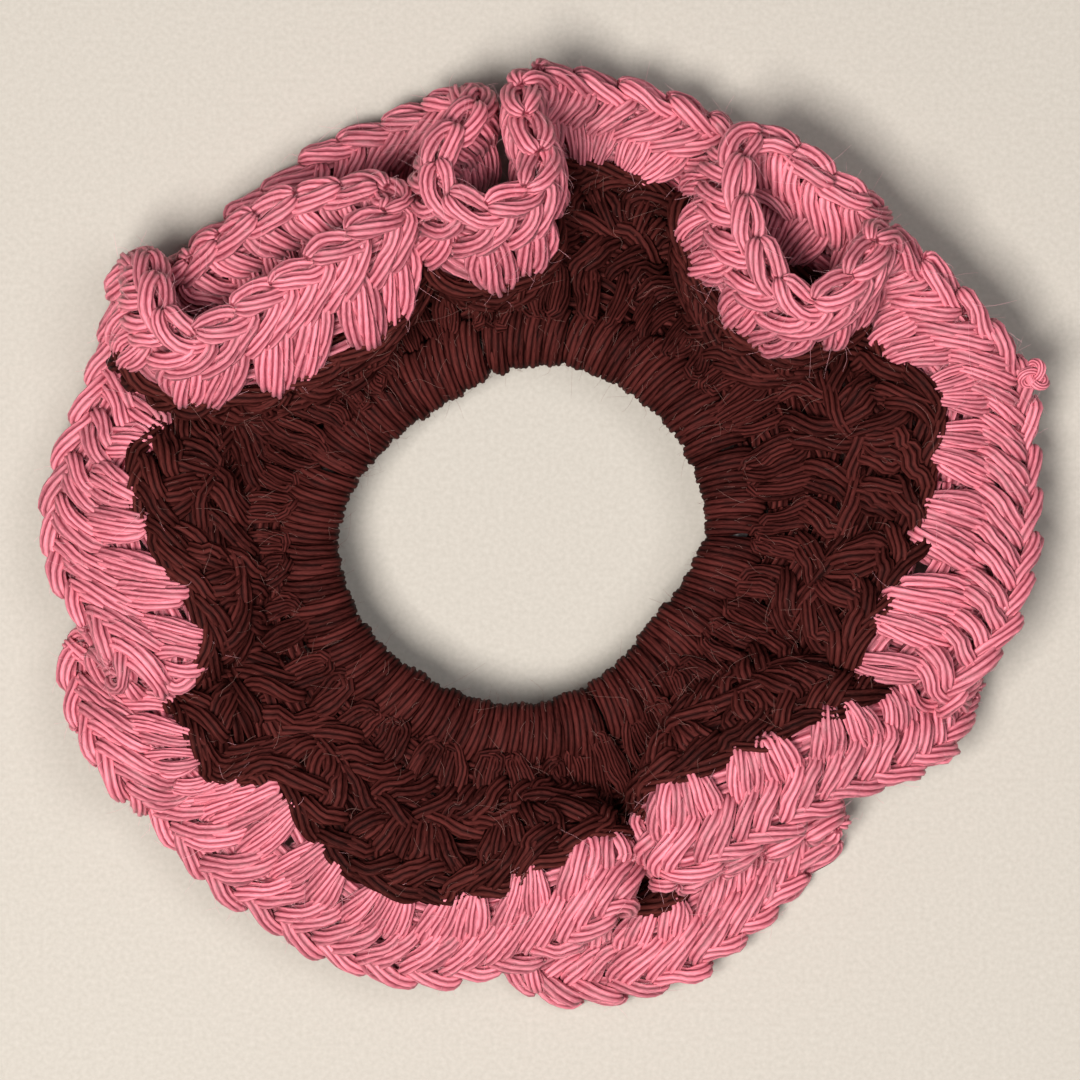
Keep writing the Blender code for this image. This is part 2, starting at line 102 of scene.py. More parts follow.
# %% Plain pale floor
FLOOR_REACH = 2
FLOOR_DROP = 0.0008
FLOOR_GRAIN = 1800.0
FLOOR_DARK = (0.39, 0.355, 0.31, 1)
FLOOR_LIGHT = (0.50, 0.46, 0.41, 1)


def joined(tree, output, target):
    tree.links.new(output, target)


def floor_material():
    material = bpy.data.materials.new("pale_floor")
    material.use_nodes = True
    tree = material.node_tree
    shader = tree.nodes["Principled BSDF"]
    shader.inputs["Roughness"].default_value = 0.8
    grain = tree.nodes.new("ShaderNodeTexNoise")
    grain.inputs["Scale"].default_value = FLOOR_GRAIN
    grain.inputs["Detail"].default_value = 2.0
    place = tree.nodes.new("ShaderNodeTexCoord")
    joined(tree, place.outputs["Object"], grain.inputs["Vector"])
    tint = tree.nodes.new("ShaderNodeMix")
    tint.data_type = "RGBA"
    tint.inputs["A"].default_value = FLOOR_DARK
    tint.inputs["B"].default_value = FLOOR_LIGHT
    joined(tree, grain.outputs["Fac"], tint.inputs["Factor"])
    joined(tree, tint.outputs["Result"], shader.inputs["Base Color"])
    return material


floor_mesh = bpy.data.meshes.new("floor")
corners = [(x * FLOOR_REACH, y * FLOOR_REACH, 0) for x, y in ((-1, -1), (1, -1), (1, 1), (-1, 1))]
floor_mesh.from_pydata(corners, [], [(0, 1, 2, 3)])
floor_mesh.materials.append(floor_material())
floor = bpy.data.objects.new("floor", floor_mesh)
floor.location.z = -FLOOR_DROP
bpy.context.scene.collection.objects.link(floor)
print("floor half width in mm:", FLOOR_REACH * 1000)

# %% [markdown]
# ## The fabric's middle surface
#
# A crocheted ruffle is a sheet that is too long for the ring it hangs on, so it has to fold.
# A cloth simulation would fold it somewhere, but not into these pleats, so the folds are listed
# as stations. Each station gives one point of the edge and the point below it where pink meets
# brown. The stations go round anticlockwise, in millimetres from the ring's middle, and they
# are the same ones that the solid part is made from.

# %% The ring and the folds
RING_MIDDLE = (-2.15, 0.25)
RING_HEIGHT = 10.0
RING_RADII = (24.3, 24.5, 23.9, 23.0, 21.2, 22.5, 24.6, 24.2, 23.0, 22.9, 21.9, 21.3)
FOUNDATION_OUTSIDE = 3.5
BROWN_LENGTH = 20.0
PINK_LENGTH = 11.5
HEM_PLACE = 27.0

EDGE_STEPS = 1440
EDGE_SMOOTHING = 2.2
ROOT_SMOOTHING = 42.0
LEAST_ROOT_SHARE = 0.3
LEAST_BEND = 10.0
END_BEND_SHARE = 0.7
START_TILT_SHARE = 0.6

FOLDS = [
    # right side, lying quiet
    ((58.5, 4.0, -1), (46.0, 6.5, 2)),
    ((58.0, 11.5, -3), (47.0, 12.0, 2)),
    ((58.0, 17.5, 0), (47.5, 16.0, 3)),
    # shoulder on the upper right
    ((55.5, 21.5, 3), (45.5, 17.0, 4)),
    ((51.5, 26.0, 4), (42.5, 19.5, 3)),
    ((48.0, 29.5, 5), (40.5, 23.0, 0)),
    ((45.0, 31.5, 5), (39.5, 25.0, -2)),
    ((43.0, 33.0, 7), (39.0, 26.5, -1)),
    # front wall of the right-hand pleat
    ((40.5, 35.5, 11), (38.5, 27.0, 2)),
    ((39.0, 32.0, 14), (37.5, 25.0, 4)),
    ((36.5, 28.5, 15), (35.0, 23.0, 5)),
    ((32.0, 25.5, 15), (30.0, 21.0, 5)),
    ((28.0, 29.0, 15), (24.0, 25.0, 5)),
    ((25.5, 35.0, 14), (20.5, 30.5, 5)),
    ((24.5, 40.5, 12), (18.5, 36.0, 4)),
    ((24.5, 44.5, 9), (19.0, 38.5, 2)),
    # back wall of the right-hand pleat
    ((27.0, 46.0, 6), (22.5, 38.0, -1)),
    ((31.0, 44.0, 6), (28.0, 36.0, -2)),
    ((35.0, 40.5, 6), (31.0, 32.5, -3)),
    ((38.5, 38.5, 5), (34.0, 30.0, -3)),
    ((41.5, 37.0, 0), (36.5, 28.0, -6)),
    # under layer of the right-hand pleat
    ((39.0, 38.0, -5), (33.5, 29.0, -10)),
    ((34.0, 40.5, -6), (27.5, 32.5, -10)),
    ((28.5, 44.0, -6), (22.0, 36.0, -9)),
    ((25.0, 46.5, -3), (18.0, 39.0, -6)),
    # top, lying outwards
    ((20.5, 48.5, -1), (14.5, 41.5, -4)),
    ((15.5, 50.5, 0), (11.0, 42.5, -3)),
    ((8.5, 52.0, 0), (8.0, 43.0, -3)),
    ((4.0, 53.0, 2), (5.5, 43.0, -2)),
    # standing flute at the top
    ((-0.3, 52.3, 8), (0.9, 43.5, 1)),
    ((-0.2, 48.0, 13), (0.4, 40.5, 4)),
    ((2.5, 43.0, 16), (2.5, 37.5, 6)),
    ((1.0, 38.5, 18), (3.0, 33.0, 8)),
    ((-5.0, 36.0, 19), (-3.5, 28.5, 9)),
    ((-9.0, 38.0, 18), (-9.5, 30.0, 8)),
    ((-10.0, 41.5, 16), (-11.5, 35.5, 6)),
    ((-8.5, 45.0, 14), (-9.0, 38.5, 4)),
    ((-5.7, 48.0, 11), (-5.6, 40.0, 2)),
    ((-4.6, 50.2, 6), (-4.4, 41.0, -1)),
    ((-6.5, 51.0, 0), (-6.5, 41.0, -5)),
    # under layer of the left-hand pleat
    ((-11.5, 49.5, -4), (-12.5, 39.5, -9)),
    ((-16.5, 47.5, -5), (-15.5, 38.5, -9)),
    ((-23.5, 44.5, -6), (-20.0, 36.5, -10)),
    ((-30.0, 39.5, -6), (-25.0, 32.5, -10)),
    ((-36.0, 34.5, -6), (-30.0, 26.5, -10)),
    ((-39.5, 31.5, -4), (-33.5, 23.5, -8)),
    ((-39.5, 30.0, 2), (-34.5, 22.5, -5)),
    # back wall of the left-hand pleat
    ((-36.5, 32.5, 6), (-32.0, 25.0, -3)),
    ((-31.5, 35.5, 9), (-28.5, 28.0, -1)),
    ((-26.0, 38.5, 10), (-24.5, 31.0, 1)),
    ((-20.0, 39.5, 11), (-19.5, 33.0, 2)),
    ((-15.5, 39.5, 13), (-14.0, 33.0, 4)),
    # front wall of the left-hand pleat
    ((-13.5, 37.5, 15), (-11.0, 30.5, 6)),
    ((-18.5, 34.5, 16), (-16.0, 23.5, 7)),
    ((-24.0, 30.5, 16), (-23.0, 19.5, 7)),
    ((-29.5, 27.0, 16), (-29.5, 17.0, 7)),
    ((-35.0, 23.0, 16), (-36.0, 16.0, 7)),
    ((-38.5, 22.5, 16), (-40.0, 17.0, 8)),
    ((-40.5, 25.0, 15), (-43.0, 18.5, 8)),
    ((-41.0, 28.5, 12), (-45.0, 21.0, 7)),
    ((-42.0, 31.5, 8), (-44.5, 24.0, 4)),
    ((-43.5, 32.5, 4), (-42.0, 25.0, 1)),
    ((-46.0, 30.5, 0), (-40.0, 25.0, -2)),
    # left side
    ((-47.5, 26.0, -3), (-38.8, 22.0, -5)),
    ((-49.0, 20.0, -4), (-39.5, 17.0, -5)),
    ((-50.5, 14.0, -3), (-42.0, 11.0, 0)),
    ((-53.0, 7.5, -3), (-44.0, 6.5, 4)),
    ((-54.5, 1.0, -3), (-42.5, 0.5, 4)),
    ((-53.0, -5.0, -1), (-39.5, -4.0, 5)),
    ((-50.0, -10.0, 3), (-36.0, -9.5, 6)),
    ((-47.0, -13.0, 6), (-36.0, -12.5, 6)),
    ((-45.5, -16.5, 7), (-37.5, -15.5, 5)),
    # first small pleat on the left
    ((-47.5, -16.0, 2), (-39.0, -17.0, 0)),
    ((-51.0, -11.0, -3), (-41.0, -16.5, -3)),
    ((-52.5, -12.0, -5), (-42.5, -18.0, -2)),
    ((-52.0, -17.5, -3), (-40.5, -19.5, 2)),
    ((-51.0, -21.5, 0), (-38.0, -21.0, 5)),
    ((-49.0, -24.5, 3), (-37.0, -23.5, 6)),
    ((-46.5, -28.0, 4), (-37.0, -25.5, 4)),
    # second small pleat on the left
    ((-45.0, -29.5, 1), (-35.5, -26.5, 3)),
    ((-44.0, -30.0, -3), (-34.0, -27.0, 3)),
    ((-42.5, -31.5, -4), (-32.0, -27.0, 3)),
    ((-40.0, -35.0, -2), (-29.5, -26.5, 4)),
    ((-36.0, -39.5, -2), (-25.5, -30.0, 5)),
    ((-28.5, -44.0, -2), (-22.0, -35.5, 4)),
    ((-21.0, -48.5, -2), (-16.5, -39.5, 4)),
    ((-14.0, -50.5, -2), (-11.5, -40.0, 4)),
    ((-7.5, -50.5, -1), (-6.0, -40.5, 5)),
    ((-1.5, -48.5, 1), (-1.0, -39.0, 7)),
    ((3.5, -47.5, 4), (1.0, -36.5, 8)),
    ((8.0, -45.5, 7), (5.5, -35.0, 8)),
    ((10.5, -42.5, 8), (9.5, -34.5, 6)),
    ((11.5, -42.0, 4), (12.0, -34.5, 3)),
    # middle and under layer at the bottom
    ((8.0, -44.0, -1), (9.5, -35.0, -1)),
    ((1.5, -46.5, -3), (3.5, -37.0, -4)),
    ((-1.5, -49.5, -6), (0.5, -40.5, -8)),
    ((2.0, -53.0, -8), (4.0, -43.5, -11)),
    ((8.0, -53.5, -8), (10.5, -44.5, -10)),
    ((14.0, -52.5, -6), (14.5, -43.5, -4)),
    ((19.5, -50.5, -6), (19.0, -40.5, -5)),
    ((24.5, -47.0, -6), (23.5, -37.5, -6)),
    ((29.0, -43.0, -8), (27.5, -33.5, -10)),
    ((33.5, -38.5, -9), (31.0, -30.0, -11)),
    ((36.5, -34.5, -8), (32.0, -28.0, -10)),
    # middle layer, hidden under the lower right pleat
    ((36.0, -33.0, -1), (30.5, -26.5, -3)),
    ((29.5, -35.5, 1), (24.5, -28.0, -1)),
    ((22.5, -38.5, 2), (19.0, -30.5, 0)),
    ((17.0, -40.0, 4), (14.5, -32.0, 2)),
    # top layer of the lower right pleat
    ((15.5, -39.5, 6), (13.5, -30.5, 5)),
    ((18.0, -39.5, 8), (16.0, -28.5, 8)),
    ((22.5, -37.0, 8), (19.0, -27.0, 9)),
    ((27.0, -34.5, 8), (22.5, -25.0, 9)),
    ((32.0, -32.0, 7), (28.0, -23.0, 9)),
    ((36.5, -29.5, 6), (33.0, -20.0, 9)),
    ((42.5, -27.0, 4), (37.5, -18.5, 8)),
    ((48.0, -25.0, 1), (41.5, -18.5, 4)),
    ((50.5, -22.0, -3), (43.0, -17.5, -1)),
    ((52.5, -18.0, -6), (45.0, -15.0, -5)),
    # small tuck on the right
    ((51.5, -17.5, -1), (43.5, -13.5, -1)),
    ((48.5, -19.5, 3), (40.0, -15.5, 3)),
    ((49.5, -17.5, 6), (37.5, -14.5, 6)),
    ((53.0, -14.0, 6), (38.0, -11.5, 7)),
    ((55.5, -10.5, 4), (40.5, -9.0, 6)),
    ((57.0, -6.5, 2), (43.0, -4.0, 5)),
    ((58.0, -1.5, 0), (45.5, 1.0, 3)),
]
print("stations:", len(FOLDS))

# %% Smooth curves from the stations
def softened(rows, reach):
    """Closed rows of values, each averaged with its neighbours within about this many rows."""
    far = int(math.ceil(3 * reach))
    steps = np.arange(-far, far + 1)
    weights = np.exp(-0.5 * (steps / reach) ** 2)
    weights /= weights.sum()
    total = np.zeros_like(rows)
    for step, weight in zip(steps, weights):
        total += weight * np.roll(rows, -step, axis=0)
    return total


def unit(vectors):
    return vectors / np.maximum(np.linalg.norm(vectors, axis=-1, keepdims=True), 1e-9)


def ring_radius(angle):
    """The elastic's centreline, as a smooth closed curve through RING_RADII."""
    count = len(RING_RADII)
    place = np.asarray(angle, float) / (2 * math.pi) * count
    first = np.floor(place).astype(int)
    share = place - first
    radii = np.array(RING_RADII)
    before = radii[(first - 1) % count]
    start = radii[first % count]
    end = radii[(first + 1) % count]
    after = radii[(first + 2) % count]
    bend = 2 * before - 5 * start + 4 * end - after
    twist = 3 * (start - end) + after - before
    return start + 0.5 * share * (end - before + share * (bend + share * twist))


def ring_point(angle):
    radius = ring_radius(angle)
    return np.stack([radius * np.cos(angle), radius * np.sin(angle), 0 * radius], axis=-1)


def along(values, steps):
    """Values of a closed polyline, read at equal steps of its own length."""
    closed = np.vstack([values, values[:1]])
    lengths = np.linalg.norm(np.diff(closed, axis=0), axis=1)
    reached = np.concatenate([[0], np.cumsum(lengths)])
    places = np.arange(steps) * reached[-1] / steps
    columns = [np.interp(places, reached, column) for column in closed.T]
    return np.stack(columns, axis=1), reached[-1] / steps


def settled_edge():
    """The edge and the pink border as smooth curves, and the angle where each rib starts."""
    stations = np.array(FOLDS, float).reshape(-1, 6)
    path, step = along(stations, EDGE_STEPS)
    path = softened(path, EDGE_SMOOTHING / step)
    edge, border = path[:, :3], path[:, 3:]
    turn = np.unwrap(np.arctan2(border[:, 1], border[:, 0]))
    even = np.arange(EDGE_STEPS) * 2 * math.pi / EDGE_STEPS
    wander = softened(turn - even, ROOT_SMOOTHING / step)
    pace = np.diff(np.append(wander + even, wander[0] + 2 * math.pi))
    pace = np.maximum(pace, LEAST_ROOT_SHARE * 2 * math.pi / EDGE_STEPS)
    pace *= 2 * math.pi / pace.sum()
    root = wander[0] + np.concatenate([[0], np.cumsum(pace[:-1])])
    return edge, border, root


EDGE, BORDER, ROOT = settled_edge()
edge_length = np.linalg.norm(EDGE - np.roll(EDGE, 1, axis=0), axis=1).sum()
print("the edge is", round(edge_length), "mm long")

# %% The whole surface as a grid of ribs
def rib_points(place):
    """The point of every rib that is this far along it, in millimetres from the foundation."""
    out = np.stack([np.cos(ROOT), np.sin(ROOT), 0 * ROOT], axis=1)
    centre = ring_point(ROOT)
    reach = BORDER - centre
    rise = START_TILT_SHARE * np.arctan2(reach[:, 2], np.maximum((reach * out).sum(axis=1), 1.0))
    start_way = out * np.cos(rise)[:, None] + np.array([0, 0, 1]) * np.sin(rise)[:, None]
    start = centre + FOUNDATION_OUTSIDE * start_way
    end_way = unit(EDGE - BORDER)
    if place >= HEM_PLACE:
        return EDGE - end_way * (BROWN_LENGTH + PINK_LENGTH - place)
    if place >= BROWN_LENGTH:
        hem = EDGE - end_way * (BROWN_LENGTH + PINK_LENGTH - HEM_PLACE)
        return BORDER + (hem - BORDER) * (place - BROWN_LENGTH) / (HEM_PLACE - BROWN_LENGTH)
    bend = np.maximum(np.linalg.norm(BORDER - start, axis=1, keepdims=True), LEAST_BEND)
    t = place / BROWN_LENGTH
    return (
        start * (2 * t**3 - 3 * t**2 + 1)
        + start_way * bend * (t**3 - 2 * t**2 + t)
        + BORDER * (3 * t**2 - 2 * t**3)
        + end_way * bend * END_BEND_SHARE * (t**3 - t**2)
    )


PLACE_STEP = 0.5
PLACES = np.arange(-3.0, 34.0, PLACE_STEP)
NEAR_ROWS = 3
NORMAL_SMOOTHING = 2.0
LEAST_STEP = 0.2
GRID = np.stack([rib_points(place) for place in PLACES], axis=1)
after, before = np.roll(GRID, -NEAR_ROWS, axis=0), np.roll(GRID, NEAR_ROWS, axis=0)
ahead = after - before
outward = np.gradient(GRID, axis=1)
UP = unit(softened(unit(np.cross(outward, ahead)), NORMAL_SMOOTHING))
half_step = np.linalg.norm(ahead, axis=2) / 2
curving = ((after - 2 * GRID + before) * UP).sum(axis=2)
HOLLOW = softened(curving / np.maximum(half_step, LEAST_STEP) ** 2, NORMAL_SMOOTHING)
print("surface grid:", GRID.shape)

# %% Reading the surface anywhere
HOLLOW_ROOM = 0.8
LEAST_HOLLOW = 0.05
SPARE_STITCHES = 4


def read_grid(values, row, place):
    """Values of the grid between its rows and columns."""
    low = np.floor(row).astype(int)
    share = row - low
    column = np.clip((place - PLACES[0]) / PLACE_STEP, 0, len(PLACES) - 1.001)
    left = np.floor(column).astype(int)
    part = column - left
    a, b = low % EDGE_STEPS, (low + 1) % EDGE_STEPS
    if values.ndim == 3:
        share, part = share[..., None], part[..., None]
    first = values[a, left] * (1 - share) + values[b, left] * share
    second = values[a, left + 1] * (1 - share) + values[b, left + 1] * share
    return first * (1 - part) + second * part


def on_fabric(row, place, lift):
    """Points this far above the surface. In a tight hollow they are held nearer to it."""
    hollow = read_grid(HOLLOW, row, place)
    most = HOLLOW_ROOM / np.maximum(hollow * np.sign(lift), LEAST_HOLLOW)
    lift = np.sign(lift) * np.minimum(np.abs(lift), most)
    return read_grid(GRID, row, place) + unit(read_grid(UP, row, place)) * lift[..., None]


def stitch_rows(place, count):
    """The row where each stitch of a round starts, evenly spaced by length at this place."""
    line = read_grid(GRID, np.arange(EDGE_STEPS + 1.0), np.full(EDGE_STEPS + 1, float(place)))
    reached = np.concatenate([[0], np.cumsum(np.linalg.norm(np.diff(line, axis=0), axis=1))])
    marks = np.arange(-SPARE_STITCHES, count + SPARE_STITCHES + 1) / count * reached[-1]
    turns = np.floor(marks / reached[-1])
    rows = np.interp(marks - turns * reached[-1], reached, np.arange(EDGE_STEPS + 1.0))
    return rows + turns * EDGE_STEPS, reached[-1]


def rows_of(starts, stitch):
    """The row at a fractional stitch number of a round."""
    return np.interp(stitch, np.arange(len(starts)) - SPARE_STITCHES, starts)


for place in (0, 9.5, 20, 31):
    print("length round the fabric at", place, "mm:", round(stitch_rows(place, 10)[1]))

# %% [markdown]
# ## A plied strand of yarn
#
# Mercerised cotton is several plies twisted loosely together. In the hand you see the plies
# as parallel ridges with dark grooves between them. A plain tube with a striped texture goes
# flat in raking light, so each strand is swept with a scalloped outline, one scallop for each
# ply, and the outline turns slowly along the strand. The sweep also writes down where each
# point lies on its strand, so that the material can add fibres that follow the yarn.

# %% Curves through a few guide points
PLIES = 7
PLY_RELIEF = 0.34
PLY_UNEVENNESS = 0.09
random = np.random.default_rng(7)


def curved(knots, steps):
    """A smooth curve through each row of guide points, read at this many places."""
    first = 2 * knots[:, :1] - knots[:, 1:2]
    last = 2 * knots[:, -1:] - knots[:, -2:-1]
    held = np.concatenate([first, knots, last], axis=1)
    t = np.linspace(0, knots.shape[1] - 1, steps)
    i = np.minimum(t.astype(int), knots.shape[1] - 2)
    f = (t - i)[None, :, None]
    a, b, c, d = (held[:, i + k] for k in range(4))
    return b + 0.5 * f * (c - a + f * (2 * a - 5 * b + 4 * c - d + f * (3 * (b - c) + d - a)))


def scallops(plies, points_each, relief):
    """The outline of a strand: its angle, its radius, and how deep in a groove each point lies, which
    sets how much shade is painted there.
    """
    count = plies * points_each
    angle = 2 * math.pi * np.arange(count) / count
    across = np.arange(count) / points_each % 1 - 0.5
    radius = 1 - relief + relief * np.sqrt(1 - (2 * across) ** 2)
    # Painted shade: none on a ply's crest, full shade deep in the groove between two plies.
    groove_shade = np.abs(2 * across) ** 1.6
    return angle, radius, groove_shade


def swept(
    paths, up, radii, twist, plies=PLIES, points_each=3, uneven=PLY_UNEVENNESS, relief=PLY_RELIEF
):
    """Strands along these paths. Returns their points and what the material needs."""
    count, steps = paths.shape[:2]
    tangent = unit(np.gradient(paths, axis=1))
    side = np.empty_like(paths)
    held = up
    for i in range(steps):
        held = unit(held - (held * tangent[:, i]).sum(axis=1, keepdims=True) * tangent[:, i])
        side[:, i] = held
    across = np.cross(tangent, side)
    reached = np.zeros((count, steps))
    reached[:, 1:] = np.cumsum(np.linalg.norm(np.diff(paths, axis=1), axis=2), axis=1)
    angle, outline, groove_shade = scallops(plies, points_each, relief)
    phase = random.uniform(0, 2 * math.pi, (count, 1, 1))
    turned = angle[None, None, :] + phase + (twist * reached)[..., None]
    way = np.cos(turned)[..., None] * side[:, :, None]
    way = way + np.sin(turned)[..., None] * across[:, :, None]
    shape = (count, steps, len(angle))
    plump = random.normal(0, uneven, (count, steps + 2, plies))
    plump = (plump[:, :-2] + 2 * plump[:, 1:-1] + plump[:, 2:]) / 2.4
    outline = outline * (1 + np.repeat(plump, points_each, axis=2))
    points = paths[:, :, None] + way * (radii[..., None] * outline)[..., None]
    offset = random.uniform(0, 500, (count, 1, 1))
    place = np.stack([
        np.broadcast_to(np.cos(angle), shape),
        np.broadcast_to(np.sin(angle), shape),
        np.broadcast_to(reached[..., None] + offset, shape),
    ], axis=-1)
    return {
        "points": points,
        "way": way,
        "tangent": tangent,
        "place": place,
        # Where the material paints shade into the grooves between the plies.
        "groove_shade": np.broadcast_to(groove_shade, shape),
        "shade": np.broadcast_to(random.uniform(0, 1, (count, 1, 1)), shape),
    }


print("scallop radii:", np.round(scallops(PLIES, 3, PLY_RELIEF)[1][:4], 2))

# %% A mesh object from swept strands
def joined_mesh(name, points, faces, caps, material, facts):
    """One mesh object in metres, with its facts for the material stored on its points."""
    mesh = bpy.data.meshes.new(name)
    mesh.vertices.add(len(points))
    placed = (points + np.array([*RING_MIDDLE, RING_HEIGHT])) * 0.001
    placed[:, 2] = np.maximum(placed[:, 2], 0.0)
    mesh.vertices.foreach_set("co", placed.astype(np.float32).ravel())
    loops = np.concatenate([faces.ravel(), caps.ravel()])
    starts = np.concatenate([
        np.arange(len(faces)) * faces.shape[1],
        faces.size + np.arange(len(caps)) * caps.shape[1],
    ])
    mesh.loops.add(len(loops))
    mesh.loops.foreach_set("vertex_index", loops.astype(np.int32))
    mesh.polygons.add(len(starts))
    mesh.polygons.foreach_set("loop_start", starts.astype(np.int32))
    mesh.polygons.foreach_set("use_smooth", np.full(len(starts), True))
    mesh.update(calc_edges=True)
    for key, values in facts.items():
        kind = "FLOAT_VECTOR" if values.ndim == 2 else "FLOAT"
        stored = mesh.attributes.new(key, kind, "POINT")
        field = "vector" if values.ndim == 2 else "value"
        stored.data.foreach_set(field, values.astype(np.float32).ravel())
    mesh.materials.append(material)
    piece = bpy.data.objects.new(name, mesh)
    bpy.context.scene.collection.objects.link(piece)
    return piece


def strand_mesh(name, strands, material):
    """The swept strands as one mesh, each with its two ends closed."""
    count, steps, around = strands["groove_shade"].shape
    index = np.arange(count * steps * around).reshape(count, steps, around)
    after = np.roll(index, -1, axis=2)
    faces = np.stack([index[:, :-1], after[:, :-1], after[:, 1:], index[:, 1:]], axis=-1)
    caps = np.concatenate([index[:, 0, ::-1], index[:, -1]])
    facts = {
        "strand_place": strands["place"].reshape(-1, 3),
        # Painted shade for the grooves between the plies.
        "painted_shade_between_plies": strands["groove_shade"].reshape(-1),
        "strand_shade": strands["shade"].reshape(-1),
    }
    points = strands["points"].reshape(-1, 3)
    return joined_mesh(name, points, faces.reshape(-1, 4), caps, material, facts)


def worked_in(piece, material_slot, *nodes):
    """A piece of the soft ring, moved into world place; the solids it stands for are hidden."""
    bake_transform(piece)
    if nodes:
        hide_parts(*nodes)
    return piece


def both(name):
    """The two solids that are halves of one round."""
    return f"lower_{name}", f"upper_{name}"


print("a round's solids:", both("pink_round"))

# %% [markdown]
# ## Yarn that looks like yarn
#
# Cotton yarn is matt, with a faint silky sheen on top of each ply and fine fibres that run along
# it. The shade that falls in the grooves between the plies is painted into the colour as a darker
# groove colour. All the yarns share those effects, so they are made once as node groups: one for
# the colour of plied yarn with its painted groove shade, and one for its fibres. The shader
# itself stays in each material.

# %% Node groups shared by every yarn
def new_group(name, inputs, outputs):
    group = bpy.data.node_groups.new(name, "ShaderNodeTree")
    for label, kind, default in inputs:
        socket = group.interface.new_socket(label, in_out="INPUT", socket_type=kind)
        if default is not None:
            socket.default_value = default
    for label, kind in outputs:
        group.interface.new_socket(label, in_out="OUTPUT", socket_type=kind)
    entry = group.nodes.new("NodeGroupInput")
    leave = group.nodes.new("NodeGroupOutput")
    return group, entry, leave


def maths(tree, what, first, second):
    node = tree.nodes.new("ShaderNodeMath")
    node.operation = what
    for socket, value in zip(node.inputs, (first, second)):
        if isinstance(value, (int, float)):
            socket.default_value = value
        else:
            tree.links.new(value, socket)
    return node.outputs[0]


def mixed(tree, share, first, second, blend_type="MIX"):
    node = tree.nodes.new("ShaderNodeMix")
    node.data_type = "RGBA"
    node.blend_type = blend_type
    for label, value in (("Factor", share), ("A", first), ("B", second)):
        socket = [s for s in node.inputs if s.name == label and s.enabled][0]
        if isinstance(value, (int, float, tuple)):
            socket.default_value = value
        else:
            tree.links.new(value, socket)
    return [s for s in node.outputs if s.enabled][0]


def fibre_group():
    """Fine streaks that run along the strand, used as a mask and as a height."""
    group, entry, leave = new_group(
        "yarn_fibres",
        [("Strand place", "NodeSocketVector", None)],
        [("Streaks", "NodeSocketFloat")],
    )
    spread = group.nodes.new("ShaderNodeVectorMath")
    spread.operation = "MULTIPLY"
    spread.inputs[1].default_value = (8.0, 8.0, 1.3)
    joined(group, entry.outputs["Strand place"], spread.inputs[0])
    streaks = group.nodes.new("ShaderNodeTexNoise")
    streaks.inputs["Scale"].default_value = 1.0
    streaks.inputs["Detail"].default_value = 4.0
    streaks.inputs["Roughness"].default_value = 0.65
    joined(group, spread.outputs[0], streaks.inputs["Vector"])
    joined(group, streaks.outputs["Fac"], leave.inputs["Streaks"])
    return group


def ply_colour_group():
    """The colour of a plied strand: shade painted dark into the grooves, pale on the plies, a little
    uneven.
    """
    group, entry, leave = new_group(
        "plied_yarn_colour_and_groove_shade",
        [
            ("Ply colour", "NodeSocketColor", (0.8, 0.3, 0.35, 1)),
            ("Groove shade colour", "NodeSocketColor", (0.3, 0.05, 0.08, 1)),
            ("Groove", "NodeSocketFloat", 0.0),
            ("Groove strength", "NodeSocketFloat", 0.8),
            ("Streaks", "NodeSocketFloat", 0.5),
            ("Strand shade", "NodeSocketFloat", 0.5),
            ("Unevenness", "NodeSocketFloat", 0.2),
        ],
        [("Colour", "NodeSocketColor"), ("Roughness", "NodeSocketFloat")],
    )
    # Painted shade: the deeper in a groove, the nearer the colour comes to the dark shade colour
    # given for the grooves.
    depth = maths(group, "MULTIPLY", entry.outputs["Groove"], entry.outputs["Groove strength"])
    colour = mixed(group, depth, entry.outputs["Ply colour"], entry.outputs["Groove shade colour"])
    streaky = maths(group, "SUBTRACT", entry.outputs["Streaks"], 0.5)
    streaky = maths(group, "MULTIPLY", streaky, 2.6)
    shade = maths(group, "SUBTRACT", entry.outputs["Strand shade"], 0.5)
    uneven = maths(group, "ADD", streaky, maths(group, "MULTIPLY", shade, 0.7))
    uneven = maths(group, "MULTIPLY", uneven, entry.outputs["Unevenness"])
    bright = maths(group, "ADD", uneven, 1.0)
    scaled = group.nodes.new("ShaderNodeVectorMath")
    scaled.operation = "SCALE"
    joined(group, colour, scaled.inputs[0])
    joined(group, bright, scaled.inputs["Scale"])
    joined(group, scaled.outputs[0], leave.inputs["Colour"])
    rough = maths(group, "MULTIPLY", entry.outputs["Streaks"], 0.2)
    rough = maths(group, "ADD", rough, 0.44)
    joined(group, rough, leave.inputs["Roughness"])
    return group


FIBRES = fibre_group()
PLY_COLOUR = ply_colour_group()
print("node groups:", FIBRES.name, PLY_COLOUR.name)

# %% The yarn materials
FIBRE_BUMP = 0.5
FIBRE_HEIGHT = 0.00016
WHITE = (1, 1, 1)


